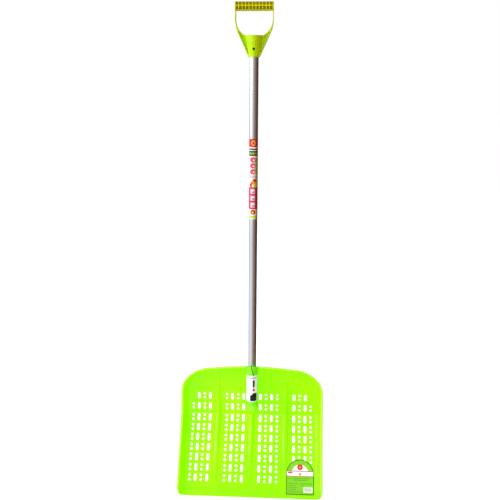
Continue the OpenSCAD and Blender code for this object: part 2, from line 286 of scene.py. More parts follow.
def rib_height(x, along, length, radius, dip_r):
    """Height of a round rib over the sheet's front face; its axis dips until it fades out."""
    depth = RIB_SINK + (dip_r - RIB_SINK) * along / length
    inside = np.sqrt(np.clip(radius**2 - x**2, 0, None)) - depth
    beyond = -depth - 3 * (np.abs(x) - radius)
    return np.where(np.abs(x) < radius, inside, beyond)


def flute_place(i):
    """Place across and upper end of a flute; the outer ones end lower, along the rounded corner."""
    x = FLUTE_START + i * FLUTE_PITCH
    over = max(0.0, x - CORNER_X)
    return x, FLUTE_TOP - (CORNER_R - math.sqrt(CORNER_R**2 - over**2))


def flute_height(u, v):
    """Height of the flutes' rounded tops over the sheet's front face."""
    best = np.full(u.shape, -9.0)
    for i in range(FLUTE_COUNT):
        x, top = flute_place(i)
        end = np.maximum(v - top, top - FLUTE_LEN - v)
        across = np.abs(np.abs(u) - x)
        reach = np.hypot(across, np.clip(end + FLUTE_R, 0, None))
        lift = np.sqrt(np.clip(FLUTE_R**2 - reach**2, 0, None)) - 1 - np.clip(reach - FLUTE_R, 0, 5)
        best = np.maximum(best, lift)
    return best


def sheet_heights(u, v):
    """Front and back heights of the sheet over its plan."""
    front = np.zeros_like(u)
    back = np.full_like(u, -SHEET_T)
    up_ramp = np.clip(v, 0, None)
    down_floor = np.clip(-v, 0, None)
    for x in (-RIB_OFFSET, 0.0, RIB_OFFSET):
        floor = rib_height(u - x, down_floor, RIB_LEN, RIB_R, RIB_R)
        hollow = rib_height(u - x, down_floor, RIB_LEN, RIB_R - SHEET_T, RIB_R)
        if x:
            ramp = rib_height(u - x, up_ramp, RAMP_RIB_LEN, RAMP_RIB_R, RAMP_RIB_R)
            ramp_hollow = rib_height(u - x, up_ramp, RAMP_RIB_LEN, RAMP_RIB_R - SHEET_T, RAMP_RIB_R)
        else:
            fade = 1.5 * up_ramp
            ramp, ramp_hollow = floor - fade, hollow - fade
        front = soft_max(np.where(v < 0, floor, ramp), front, 2.2)
        back = soft_max(np.where(v < 0, hollow, ramp_hollow), back, 2.2)
    front = soft_max(flute_height(u, v), front, 0.9)
    crease = 0.55 * np.clip(1 - np.abs(v) / 3.5, 0, None) ** 2
    front, back = front + crease, back + crease
    lip = np.clip(1 - (v + FLOOR_LEN) / 1.2, 0, 1) ** 2
    return front - 0.9 * lip, back + 0.9 * lip


def side_play(v):
    """How much wider than at the corners the side walls stand: most at the crease, least at the lip."""
    return SIDE_SWELL * (1 - smooth_step(v, 0, 75)) + SIDE_TAPER * np.minimum(v, 0) / FLOOR_LEN


def capsule(x, y, half_len, r, steps=10):
    """Outline of a slot, or of a round hole where half_len is 0, anticlockwise."""
    half_turn = np.linspace(0, math.pi, steps + 1)
    upper = [(x + r * math.cos(a), y + half_len + r * math.sin(a)) for a in half_turn]
    lower = [(x - r * math.cos(a), y - half_len - r * math.sin(a)) for a in half_turn]
    if half_len == 0:
        return upper[:-1] + lower[:-1]
    return upper + lower


def holes():
    """(x, y, half length, radius) of every perforation: slots and pairs of dots take turns across a panel."""
    found = []
    rows = [(RAMP_ROWS[0], True), (RAMP_ROWS[1], False)]
    rows += [(-FIRST_ROW - i * ROW_PITCH, True) for i in range(FLOOR_ROWS)]
    for y, outermost in rows:
        for side in (-1, 1):
            for panel in (0, 1):
                middle = RIB_OFFSET * (0.5 + panel)
                for i in range(COLUMNS):
                    if panel == 1 and i == COLUMNS - 1 and not outermost:
                        continue
                    x = side * (middle + (i - (COLUMNS - 1) / 2) * COLUMN_PITCH)
                    if i % 2 == 0:
                        found.append((x, y, DOT_PITCH / 2, HOLE_R))
                    else:
                        found += [(x, y - DOT_PITCH / 2, 0, DOT_R), (x, y + DOT_PITCH / 2, 0, DOT_R)]
    return found


def outline():
    """Stations round the flat sheet, from the left lip corner over the top to the right one:
    plan point, outward direction, and the wall's quarter-round angle at that place."""
    right = []
    for phi in np.radians([0, 4, 10, 18, 27, 36, 46, 57, 68, 79, 90]):
        right.append((FLAT_HALF_W, -FLOOR_LEN + WALL_H * (1 - math.cos(phi)), 1, 0, max(phi, 0.04)))
    low = list(np.linspace(-FLOOR_LEN + WALL_H, -40, 24)[1:]) + list(np.linspace(-40, 40, 33)[1:])
    low += list(np.linspace(40, CORNER_Y, 5)[1:])
    right += [(FLAT_HALF_W, v, 1, 0, math.pi / 2) for v in low]
    for a in np.linspace(0, math.pi / 2, 25)[1:]:
        c, s = math.cos(a), math.sin(a)
        right.append((CORNER_X + FLAT_CORNER_R * c, CORNER_Y + FLAT_CORNER_R * s, c, s, math.pi / 2))
    for u in np.linspace(CORNER_X, 0, 33)[1:]:
        right.append((u, FLAT_TOP, 0, 1, math.pi / 2))
    left = [(-u, v, -nu, nv, phi) for u, v, nu, nv, phi in right[:-1]]
    return left + right[::-1]


# Where the wall's faces have points, as shares of their height: closer together in the fold
FOLD_STEPS = (0.004, 0.016, 0.04, 0.075, 0.12, 0.17, 0.24, 0.36, 0.5, 0.65, 0.8)


def wall_chain(phi):
    """The wall's section at a station, from the sheet's front face over the rim to its back face:
    (outwards, height, shift up the sheet). Towards the lip, the rim comes down in a quarter round."""
    top = WALL_H * math.sin(phi)
    under = (WALL_H - SHEET_T) * math.sin(phi)
    rim = RIM_W * min(1.0, 0.25 + top / 16)
    round_r = min(SHEET_T, top) / 2

    def front_at(height):
        fold_top = FOLD_R * (1 - math.cos(WALL_ANGLE))
        if height < fold_top:
            a = math.acos(1 - max(height, 0) / FOLD_R)
            return FOLD_R * math.sin(a), height, a
        return FOLD_R * math.sin(WALL_ANGLE) + (height - fold_top) / math.tan(WALL_ANGLE), height, WALL_ANGLE

    chain = []
    for t in (*FOLD_STEPS, 0.92):
        x, h, _ = front_at(top * t)
        chain.append((x, h, 0))
    x_top = front_at(top)[0]
    for a in np.radians([20, 55, 90]):
        r = 1.0 * min(1, top / 6)
        chain.append((x_top + r * 0.6 - r * math.cos(a) * 0.9, top - r + r * math.sin(a), 0))
    x_end = x_top + rim - round_r
    for t in (0.35, 0.7):
        chain.append((x_top + (x_end - x_top) * t, top, 0))
    shift = SHEET_T * math.cos(phi)
    for a in np.radians([90, 60, 30, 0, -30, -60, -90]):
        drop = (1 - math.sin(a)) / 2
        height = top + (under - top) * drop
        chain.append((x_end + round_r * math.cos(a), height, shift * drop))
    outer = []
    reach = max(under + SHEET_T * math.cos(WALL_ANGLE), 0.3)
    for t in (0.94, *FOLD_STEPS[::-1]):
        x, h, a = front_at(reach * t)
        outer.append((x + SHEET_T * math.sin(a), h - SHEET_T * math.cos(a), shift * t))
    x, _, a = front_at(reach)
    corner = x + SHEET_T * math.sin(a)
    chain.append((corner + (x_end - corner) * 0.45, under, shift))
    chain.append((corner + min(0.9, rim / 6), under, shift))
    return chain + outer


def grid_points():
    """Points that carry the ribs, the flutes, the crease and the lip."""
    points = []
    rib_u = [0, 1.5, 3, 4.4, 5.6, 6.6, 7.5, 8.2, 8.8, 9.4, 10.2, 11.4, 13]
    rib_u = sorted({s * x for x in rib_u for s in (-1, 1)})
    floor_v = list(np.arange(-RIB_LEN - 6, -5, 4.0)) + [-4.4, -3.2, -2, -1, 0]
    ramp_v = [1, 2, 3.2, 4.4] + list(np.arange(8, RAMP_RIB_LEN + 8, 4.0))
    for x in (-RIB_OFFSET, 0, RIB_OFFSET):
        for du in rib_u:
            points += [(x + du, v) for v in floor_v]
            if x:
                points += [(x + du, v) for v in ramp_v]
            else:
                points += [(x + du, v) for v in (1, 2, 3.2, 4.4, 7)]
    for i in range(FLUTE_COUNT):
        x, top = flute_place(i)
        steps = [0.6, 0, -0.6, -1.2, -2, -3.5] + list(np.linspace(-6, 6 - FLUTE_LEN, 7))
        steps += [step - FLUTE_LEN for step in (3.5, 2, 1.2, 0.6, 0, -0.6)]
        for side in (-1, 1):
            for du in (-3, -2.2, -1.8, -1.3, -0.7, 0, 0.7, 1.3, 1.8, 2.2, 3):
                points += [(side * x + du, top + s) for s in steps]
    for v in (-3.6, -2.4, -1.2, 0, 1.2, 2.4, 3.6):
        points += [(u, v) for u in np.linspace(-FLAT_HALF_W + 3, FLAT_HALF_W - 3, 90)]
    for v in (0.3, 0.7, 1.2, 3, 8, 16):
        points += [(u, v - FLOOR_LEN) for u in np.linspace(-FLAT_HALF_W + 2, FLAT_HALF_W - 2, 120)]
    for v in np.arange(72, FLAT_TOP - 2, 6.0):
        points += [(u, v) for u in np.arange(-192, 193, 6.0)]
    return points


def bridge(one, two):
    """Faces between two rings that have the same number of points."""
    n = len(one)
    return [(one[i], two[i], two[(i + 1) % n], one[(i + 1) % n]) for i in range(n)]


def blade_shell():
    """The sheet with its perforations, ribs, flutes and walls, as one closed mesh."""
    stations = outline()
    loops = [[(u, v) for u, v, *_ in stations]]
    lip = [(u, -FLOOR_LEN) for u in np.linspace(FLAT_HALF_W, -FLAT_HALF_W, 121)[1:-1]]
    loops[0] += lip
    perforations = holes()
    ring_reach = HOLE_RINGS[0][0]
    for x, y, half_len, radius in perforations:
        loops.append(capsule(x, y, half_len, radius + ring_reach))
    edge = np.array(loops[0])
    inside = []
    hole_x, hole_y, hole_half, hole_r = np.array(perforations).T

    def hole_gap(u, v):
        """Distance from a plan point to the nearest perforation's outermost ring."""
        reach = np.hypot(hole_x - u, np.clip(np.abs(hole_y - v) - hole_half, 0, None))
        return np.min(reach - hole_r) - ring_reach

    for u, v in grid_points():
        if hole_gap(u, v) < 0.35:
            continue
        if np.min(np.hypot(edge[:, 0] - u, edge[:, 1] - v)) < 0.9 and v > -FLOOR_LEN + 0.8:
            continue
        if v > CORNER_Y and abs(u) > CORNER_X:
            if math.hypot(abs(u) - CORNER_X, v - CORNER_Y) > FLAT_CORNER_R - 1:
                continue
        elif abs(u) > FLAT_HALF_W - 1 or v > FLAT_TOP - 1 or v <= -FLOOR_LEN:
            continue
        inside.append((u, v))
    points = [p for loop in loops for p in loop] + inside
    edges = []
    start = 0
    for loop in loops:
        n = len(loop)
        edges += [(start + i, start + (i + 1) % n) for i in range(n)]
        start += n
    flat, _, triangles, origins, _, _ = delaunay_2d_cdt(
        [Vector(p) for p in points], edges, [], 0, 1e-5
    )
    flat = np.array([tuple(p) for p in flat])
    new_of = {}
    for i, olds in enumerate(origins):
        for old in olds:
            new_of[old] = i
    # Triangles outside the outline or inside a perforation go
    kept = []
    for tri in triangles:
        u, v = flat[list(tri)].mean(axis=0)
        if hole_gap(u, v) < -0.02:
            continue
        outside = abs(u) > FLAT_HALF_W or v > FLAT_TOP or v < -FLOOR_LEN
        if v > CORNER_Y and abs(u) > CORNER_X:
            outside = math.hypot(abs(u) - CORNER_X, v - CORNER_Y) > FLAT_CORNER_R
        if not outside:
            kept.append(tuple(tri))
    front_h, back_h = sheet_heights(flat[:, 0], flat[:, 1])
    count = len(flat)
    front = on_sheet(flat[:, 0], flat[:, 1], front_h)
    back = on_sheet(flat[:, 0], flat[:, 1], back_h)
    vertices = [*front, *back]
    faces = list(kept) + [(a + count, c + count, b + count) for a, b, c in kept]

    # Rounded edges and walls of the perforations
    start = len(loops[0])
    for (x, y, half_len, radius), loop in zip(perforations, loops[1:]):
        n = len(loop)
        previous = [new_of[start + i] for i in range(n)]
        first_back = [i + count for i in previous]
        start += n
        sides = [(grow, -below) for grow, below in HOLE_RINGS[1:]]
        sides += [(grow, below - SHEET_T) for grow, below in HOLE_RINGS[:0:-1]]
        for grow, h in sides:
            ring = capsule(x, y, half_len, radius + grow)
            base = len(vertices)
            vertices += list(on_sheet([p[0] for p in ring], [p[1] for p in ring], [h] * n))
            current = list(range(base, base + n))
            faces += bridge(previous, current)
            previous = current
        faces += bridge(previous, first_back)

    # The wall, swept along the outline
    chains = []
    for i, (u, v, nu, nv, phi) in enumerate(stations):
        widen = 1 + abs(nu) * float(side_play(v)) / SECTION_W
        chain = [(x * widen, h, shift) for x, h, shift in wall_chain(phi)]
        base = len(vertices)
        vertices += list(on_sheet(
            [u + nu * x for x, _, _ in chain],
            [v + nv * x + shift for x, _, shift in chain],
            [h for _, h, _ in chain],
        ))
        flat_i = new_of[i]
        chains.append([flat_i] + list(range(base, base + len(chain))) + [flat_i + count])
    for one, two in zip(chains, chains[1:]):
        faces += [(one[k], one[k + 1], two[k + 1], two[k]) for k in range(len(one) - 1)]
    faces.append(tuple(chains[0]))
    faces.append(tuple(reversed(chains[-1])))

    # The lip's edge between the two end sections
    lip_ids = [new_of[len(stations) - 1]]
    lip_ids += [new_of[len(stations) + i] for i in range(len(lip))] + [new_of[0]]
    faces += [(a, b, b + count, a + count) for a, b in zip(lip_ids, lip_ids[1:])]
    obj = new_object("blade_body", vertices, [tuple(int(i) for i in f) for f in faces])
    tidy_mesh(obj)
    return obj


def cylinder_cut(name, radius, z_low, z_high, point=(0, 0, 0), turn=None):
    return lathe(name, [(0, z_low), (radius, z_low), (radius, z_high), (0, z_high)], 72, point, turn)


def socket_form(top):
    """The socket's outside: a cylinder whose foot tapers into the sheet."""
    straight_end, foot = CREASE_Z + 22, CREASE_Z + 3
    profile = [(0, foot - 17), (3.2, foot - 15.6), (6.2, foot - 11.6), (8.2, foot - 5.6), (9.2, foot)]
    profile += [(12.4, foot + 7), (15.6, foot + 13), (17.9, straight_end - 1.5), (18.8, straight_end + 3)]
    profile += [(SOCKET_R, straight_end + 8)]
    profile += [(SOCKET_R, z) for z in np.linspace(straight_end + 14, top - 6, 20)]
    profile += [(SOCKET_R, top), (0, top)]
    return lathe("socket_form", profile)


def socket_mouth(top):
    """What is cut off the socket's top: the mouth slopes down behind and has a rounded front edge."""
    front, back = -SOCKET_R - 5, SOCKET_R + 5
    edge = [(front, 1.6), (-SOCKET_R, -1.5), (-SOCKET_R + 0.35, -0.8), (-SOCKET_R + 1.2, -0.75)]
    mouth = [(y, RIM_Z + SOCKET_LIP + z) for y, z in edge]
    fall = math.tan(MOUTH_SLOPE) * (2 * SOCKET_R + 4)
    mouth += [(back, mouth[-1][1] - fall), (back, top + 40), (front, top + 40)]
    return prism("mouth_cut", mouth, -40, 40, along="X")


def blade():
    body = blade_shell()
    top = RIM_Z + SOCKET_LIP + 1
    socket = socket_form(top)
    cut_or_join(socket, socket_mouth(top), "DIFFERENCE")
    cut_or_join(body, socket, "UNION")
    cut_or_join(body, cylinder_cut("bore", BORE_R, pipe_lo.z - 2.5, top + 30), "DIFFERENCE")
    back_turn = Matrix.Rotation(math.radians(-90), 3, "X")
    for rise in SCREW_RISES:
        place = (0, 0, pipe_lo.z + rise)
        for name, radius, start in (("screw_way", SCREW_WAY_R, 0), ("head_way", HEAD_WAY_R, HEAD_SEAT)):
            cut_or_join(body, cylinder_cut(name, radius, start, 60, place, back_turn), "DIFFERENCE")
    return body


# ---- Grip: the CAD solid with recessed wings, and every edge rounded as moulded ----


def arc(centre, radius, start_deg, end_deg, steps):
    return [
        (centre[0] + radius * math.cos(a), centre[1] + radius * math.sin(a))
        for a in np.radians(np.linspace(start_deg, end_deg, steps))
    ]


def recess_outline():
    """The hollow between the opening's rim and the outer rim of the wings, below the hand opening."""
    leg_centre, leg_r = (grip_hi.x - LEG_R, LEG_BEND_Z), LEG_R - WING_RIM
    hand_centre, hand_r = (grip_hi.x - LEG_T - HAND_R, -HAND_SIDE_H), HAND_R + WING_RIM
    web_z = -HAND_H - WING_RIM
    # Each arc starts above the place where the two cross, and only its part below the crossing is kept
    apart = 0.4
    inner = [
        p for p in arc(hand_centre, hand_r, -20, -89, 40)
        if math.dist(p, leg_centre) < leg_r - apart and p[1] > web_z
    ]
    outer = [
        p for p in arc(leg_centre, leg_r, -5, -LEG_TURN, 30)
        if math.dist(p, hand_centre) > hand_r + apart
    ]
    foot = [(COLLAR_R + WING_RIM / 2, COLLAR_Z + 3 * WING_RIM)]
    right = [(inner[-1][0], web_z)] + inner[::-1] + outer + foot
    return right + [(-x, z) for x, z in right[::-1]]


def grip():
    body = bpy.data.objects.new("grip_body", nodes["d_grip"].data.copy())
    bpy.context.scene.collection.objects.link(body)
    tidy_mesh(body, 0.001)
    for side in (-1, 1):
        depths = sorted((side * WING_FLOOR, side * grip_hi.x))
        pocket = prism("wing_hollow", recess_outline(), *depths)
        cone = lathe("neck_form", [(0, COLLAR_Z - 5), (COLLAR_R, COLLAR_Z - 5), (COLLAR_R, COLLAR_Z),
                                   (COLLAR_R + NECK_FLARE, -HAND_H), (COLLAR_R + NECK_FLARE, -HAND_H + 1),
                                   (0, -HAND_H + 1)], 96)
        cut_or_join(pocket, cone, "DIFFERENCE")
        cut_or_join(body, pocket, "DIFFERENCE")
    remesh = body.modifiers.new("remesh", "REMESH")
    remesh.mode = "VOXEL"
    remesh.voxel_size = 0.6 * MM
    smooth = body.modifiers.new("smooth", "SMOOTH")
    smooth.factor = 0.5
    smooth.iterations = 5
    apply_modifiers(body)
    return body


# ---- Materials ----


class Nodes:
    """Short way to write a material's nodes."""

    def __init__(self, name):
        self.material = bpy.data.materials.new(name)
        self.material.use_nodes = True
        self.tree = self.material.node_tree
        self.shader = self.tree.nodes["Principled BSDF"]

    def add(self, kind, **settings):
        node = self.tree.nodes.new(kind)
        for key, value in settings.items():
            setattr(node, key, value)
        return node

    def link(self, source, target):
        self.tree.links.new(source, target)

    def set(self, **values):
        for key, value in values.items():
            self.shader.inputs[key.replace("_", " ")].default_value = value

    def object_place(self, scale=(1, 1, 1)):
        place = self.add("ShaderNodeTexCoord").outputs["Object"]
        mapping = self.add("ShaderNodeMapping")
        mapping.inputs["Scale"].default_value = scale
        self.link(place, mapping.inputs["Vector"])
        return mapping.outputs["Vector"]

    def millimetres(self):
        """The object's own x, y and z in millimetres."""
        place = self.add("ShaderNodeSeparateXYZ")
        self.link(self.object_place((1 / MM, 1 / MM, 1 / MM)), place.inputs[0])
        return place.outputs

    def noise(self, scale, detail=3.0, stretch=(1, 1, 1), rough=0.5):
        node = self.add("ShaderNodeTexNoise")
        node.inputs["Scale"].default_value = scale
        node.inputs["Detail"].default_value = detail
        node.inputs["Roughness"].default_value = rough
        self.link(self.object_place(stretch), node.inputs["Vector"])
        return node.outputs["Fac"]

    def spread(self, value, low, high, out_low=0.0, out_high=1.0):
        node = self.add("ShaderNodeMapRange")
        for key, number in zip(("From Min", "From Max", "To Min", "To Max"), (low, high, out_low, out_high)):
            node.inputs[key].default_value = number
        self.link(value, node.inputs["Value"])
        return node.outputs["Result"]

    def math(self, operation, a, b=None):
        node = self.add("ShaderNodeMath", operation=operation)
        for socket, value in zip(node.inputs, (a, b)):
            if value is None:
                continue
            if isinstance(value, (int, float)):
                socket.default_value = value
            else:
                self.link(value, socket)
        return node.outputs[0]

    def mix(self, share, a, b):
        node = self.add("ShaderNodeMix", data_type="RGBA")
        for socket, value in ((node.inputs[0], share), (node.inputs[6], a), (node.inputs[7], b)):
            if isinstance(value, tuple):
                socket.default_value = (*value, 1.0)
            elif isinstance(value, (int, float)):
                socket.default_value = value
            else:
                self.link(value, socket)
        return node.outputs[2]

    def bump(self, height, strength, distance_mm):
        node = self.add("ShaderNodeBump")
        node.inputs["Strength"].default_value = strength
        node.inputs["Distance"].default_value = distance_mm * MM
        self.link(height, node.inputs["Height"])
        self.link(node.outputs["Normal"], self.shader.inputs["Normal"])


def lime_plastic():
    """Lime moulding with a painted glow standing in for light through the plastic: paler rim and crease,
    deeper lip and socket, painted shade down the flutes, and a painted dark shadow line on the socket.
    """
    m = Nodes("blade_lime")
    cloud = m.spread(m.noise(7, 4), 0.35, 0.65)
    flow = m.spread(m.noise(60, 3, (1, 1, 0.06)), 0.35, 0.7)
    base = m.mix(cloud, (0.27, 0.90, 0.0), (0.32, 0.95, 0.0))
    base = m.mix(m.math("MULTIPLY", flow, 0.25), base, (0.24, 0.84, 0.0))
    x, y, z = m.millimetres()
    back = m.math("SUBTRACT", y, AXIS_OFFSET)
    up = m.math("SUBTRACT", z, CREASE_Z)

    def plane(forward, rise):
        return m.math("ADD", m.math("MULTIPLY", back, forward), m.math("MULTIPLY", up, rise))

    over_ramp = plane(-math.cos(RAMP_TILT), math.sin(RAMP_TILT))
    over_floor = plane(-math.cos(FLOOR_ANGLE), math.sin(FLOOR_ANGLE))
    down_floor = plane(-math.sin(FLOOR_ANGLE), -math.cos(FLOOR_ANGLE))
    height = m.math("MINIMUM", over_ramp, over_floor)
    rim = m.spread(height, WALL_H - 5, WALL_H - 1)
    crease = m.spread(m.math("ABSOLUTE", m.math("SUBTRACT", down_floor, 5.0)), 1.8, 0.5)
    near_face = m.spread(m.math("ABSOLUTE", height), 2.2, 1.2)
    lip = m.spread(down_floor, FLOOR_LEN - 32, FLOOR_LEN - 22)
    shadow_line_x = m.math("SUBTRACT", m.math("MULTIPLY", m.math("SUBTRACT", RIM_Z, z), 0.28), 1.5)
    shadow_line = m.spread(m.math("ABSOLUTE", m.math("SUBTRACT", x, shadow_line_x)), 1.7, 1.0)
    from_flute = m.math("SUBTRACT", m.math("ABSOLUTE", x), FLUTE_START)
    phase = m.math("FRACT", m.math("ADD", m.math("DIVIDE", from_flute, FLUTE_PITCH), 0.5))
    flute_shade = m.spread(m.math("ABSOLUTE", m.math("SUBTRACT", phase, 0.5)), 0.16, 0.05)
    near_flutes = m.math("GREATER_THAN", from_flute, -6)
    in_flutes = m.math("MULTIPLY", m.spread(z, RIM_Z - 66, RIM_Z - 50), near_flutes)
    on_socket = m.math("MULTIPLY", m.math("GREATER_THAN", z, RIM_Z - 27), m.math("LESS_THAN", y, -8))
    base = m.mix(m.math("MULTIPLY", rim, 0.55), base, (0.50, 0.95, 0.08))
    base = m.mix(m.math("MULTIPLY", m.math("MULTIPLY", crease, near_face), 0.5), base, (0.52, 0.86, 0.06))
    base = m.mix(m.math("MULTIPLY", lip, 0.35), base, (0.20, 0.74, 0.0))
    # Painted shade: darker stripes down the flutes near the top rim.
    base = m.mix(m.math("MULTIPLY", m.math("MULTIPLY", flute_shade, in_flutes), 0.4), base, (0.21, 0.80, 0.0))
    middle = m.math("LESS_THAN", m.math("ABSOLUTE", x), SOCKET_R + 4)
    raised = m.math("MULTIPLY", m.spread(y, -2, -8), m.spread(z, CREASE_Z + 10, CREASE_Z + 40))
    socket = m.math("MULTIPLY", raised, middle)
    base = m.mix(m.math("MULTIPLY", socket, 0.7), base, (0.10, 0.58, 0.0))
    # Painted shadow: a thin dark line running down the socket from the rim.
    base = m.mix(m.math("MULTIPLY", m.math("MULTIPLY", shadow_line, on_socket), 0.9), base, (0.01, 0.05, 0.0))
    m.link(base, m.shader.inputs["Base Color"])
    # Painted glow: the lime colour also feeds emission, so the moulding glows evenly, standing in for light
    # shining through the translucent plastic.
    m.link(base, m.shader.inputs["Emission Color"])
    m.link(m.spread(m.noise(90, 4), 0.3, 0.7, 0.16, 0.30), m.shader.inputs["Roughness"])
    m.set(IOR=1.58, Specular_IOR_Level=0.16, Emission_Strength=0.22)
    m.set(Subsurface_Weight=0.85, Subsurface_Scale=0.012)
    m.shader.inputs["Subsurface Radius"].default_value = (0.7, 1.0, 0.1)
    m.bump(m.noise(420, 3), 0.06, 0.2)
    return m.material


def grip_plastic():
    """Yellow bar that turns lime down the neck, with painted shade, brown, deep inside the bar's pockets."""
    m = Nodes("grip_yellow")
    cloud = m.spread(m.noise(30, 4), 0.35, 0.65)
    _, y, z = m.millimetres()
    upper = m.mix(cloud, (0.62, 0.76, 0.0), (0.68, 0.80, 0.0))
    lower = m.mix(cloud, (0.47, 0.82, 0.0), (0.53, 0.87, 0.0))
    base = m.mix(m.spread(z, -HAND_H - 10, -5), lower, upper)
    inside = m.spread(m.math("ABSOLUTE", y), BAR_DEPTH / 2 - 0.6, BAR_DEPTH / 2 - 3)
    in_bar = m.math("MULTIPLY", m.spread(z, 2.2, 3.4), m.spread(z, BAR_H - 0.2, BAR_H - 2))
    # Painted shade: brown deep inside the bar's pockets.
    base = m.mix(m.math("MULTIPLY", m.math("MULTIPLY", inside, in_bar), 0.8), base, (0.50, 0.34, 0.0))
    m.link(base, m.shader.inputs["Base Color"])
    m.link(m.spread(m.noise(160, 4), 0.3, 0.7, 0.34, 0.5), m.shader.inputs["Roughness"])
    m.set(IOR=1.5, Specular_IOR_Level=0.2)
    m.bump(m.noise(120, 2), 0.05, 0.1)
    return m.material


def tube_metal():
    m = Nodes("tube_aluminium")
    streak = m.noise(900, 3, (1, 1, 0.012))
    cloud = m.noise(12, 3, (1, 1, 0.3))
    base = m.mix(m.spread(cloud, 0.35, 0.65), (0.70, 0.70, 0.71), (0.78, 0.77, 0.77))
    m.link(base, m.shader.inputs["Base Color"])
    m.link(m.spread(streak, 0.3, 0.7, 0.2, 0.36), m.shader.inputs["Roughness"])
    m.set(Metallic=1.0)
    m.bump(streak, 0.08, 0.05)
    return m.material


def plug_plastic():
    m = Nodes("plug_black")
    m.link(m.mix(m.noise(80, 4), (0.012, 0.012, 0.012), (0.03, 0.03, 0.03)), m.shader.inputs["Base Color"])
    m.link(m.spread(m.noise(300, 3), 0.3, 0.7, 0.5, 0.7), m.shader.inputs["Roughness"])
    m.bump(m.noise(1200, 3), 0.3, 0.1)
    return m.material


def black_steel():
    m = Nodes("screw_black")
    m.link(m.mix(m.noise(600, 4), (0.035, 0.035, 0.035), (0.07, 0.07, 0.07)), m.shader.inputs["Base Color"])
    m.link(m.spread(m.noise(1500, 3), 0.3, 0.7, 0.25, 0.5), m.shader.inputs["Roughness"])
    m.set(Metallic=1.0)
    m.bump(m.noise(2500, 2), 0.2, 0.05)
    return m.material


class Film(Nodes):
    """A printed film: shapes are painted one over the other, in millimetres along the film's own two axes."""

    def __init__(self, name, ground):
        super().__init__(name)
        self.print = self.mix(self.noise(40, 3), ground, tuple(c * 0.94 for c in ground))
        self.link(self.spread(self.noise(70, 3), 0.3, 0.7, 0.2, 0.32), self.shader.inputs["Roughness"])
        self.bump(self.noise(60, 2), 0.1, 0.2)
        self.set(Specular_IOR_Level=0.3)
        self.x, self.y, self.z = self.millimetres()

    def between(self, value, low, high):
        node = self.add("ShaderNodeMath", operation="COMPARE")
        node.inputs[1].default_value = (low + high) / 2
        node.inputs[2].default_value = (high - low) / 2
        self.link(value, node.inputs[0])
        return node.outputs[0]

    def paint(self, mask, colour):
        self.print = self.mix(mask, self.print, colour)

    def band(self, low, high, colour):
        self.paint(self.between(self.down, low, high), colour)

    def box(self, left, right, low, high):
        across = self.between(self.across, left, right)
        return self.math("MULTIPLY", across, self.between(self.down, low, high))

    def block(self, left, right, low, high, colour):
        self.paint(self.box(left, right, low, high), colour)

    def disc(self, x, y, rx, ry, colour, keep_above=None):
        a = self.math("POWER", self.math("DIVIDE", self.math("SUBTRACT", self.across, x), rx), 2.0)
        b = self.math("POWER", self.math("DIVIDE", self.math("SUBTRACT", self.down, y), ry), 2.0)
        mask = self.math("LESS_THAN", self.math("ADD", a, b), 1.0)
        if keep_above is not None:
            mask = self.math("MULTIPLY", mask, self.math("LESS_THAN", self.down, keep_above))
        self.paint(mask, colour)

    def stripes(self, left, right, low, high, pitch, colour, share=0.5, slant=0.0):
        run = self.math("ADD", self.across, self.math("MULTIPLY", self.down, slant))
        comb = self.math("LESS_THAN", self.math("FRACT", self.math("DIVIDE", run, pitch)), share)
        self.paint(self.math("MULTIPLY", self.box(left, right, low, high), comb), colour)

    def done(self):
        self.link(self.print, self.shader.inputs["Base Color"])
        return self.material


RED = (0.62, 0.012, 0.012)
DARK = (0.012, 0.012, 0.014)
WHITE = (0.86, 0.86, 0.84)
PINK = (0.80, 0.05, 0.22)
ORANGE = (0.85, 0.30, 0.02)
LEAF = (0.42, 0.75, 0.03)
GOLD = (0.72, 0.50, 0.06)
DARK_GREEN = (0.04, 0.20, 0.02)


